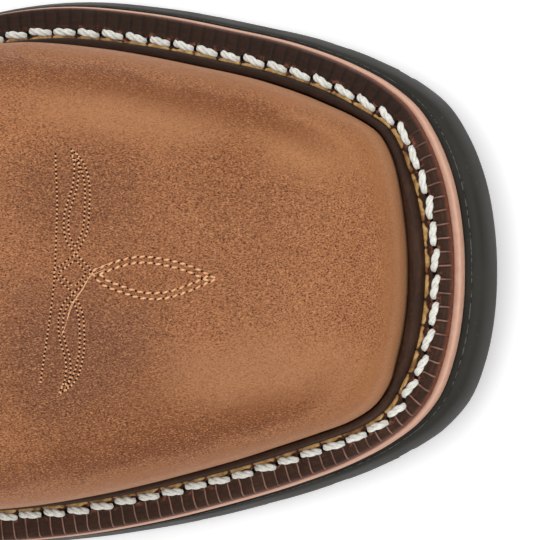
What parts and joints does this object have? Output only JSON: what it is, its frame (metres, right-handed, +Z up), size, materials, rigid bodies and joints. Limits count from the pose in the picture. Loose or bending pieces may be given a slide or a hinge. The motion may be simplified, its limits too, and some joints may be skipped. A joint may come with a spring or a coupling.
{
  "type": "western work boot",
  "caption": "Pull-on western work boot for the right foot, with a broad square toe, storm welt, leather midsole and lugged rubber sole.",
  "frame": {"origin": "centre of the heel's tread, on the floor", "axes": "+X to the toe, +Y to the inner side of the foot, +Z up"},
  "size_m": [0.3158, 0.1151, 0.3379],
  "materials": {
    "outsole_rubber": "matt moulded rubber",
    "lift_rubber": "matt moulded rubber",
    "heel_stack": "stained stacked leather",
    "midsole_leather": "natural edge",
    "welt_leather": "dark stained, wheeled",
    "insole_leather": "natural",
    "upper_leather": "oiled, distressed",
    "counter_leather": "oiled, distressed",
    "trim_leather": "dark oiled"
  },
  "bodies": {
    "root": {"outsole": "outsole_rubber", "heel_base": "heel_stack", "heel_lift": "lift_rubber", "midsole": "midsole_leather", "welt": "welt_leather", "insole": "insole_leather", "upper": "upper_leather", "counter": "counter_leather", "piping_inner": "trim_leather", "piping_outer": "trim_leather", "pull_strap_inner": "trim_leather", "pull_strap_outer": "trim_leather"}
  },
  "joints": []
}
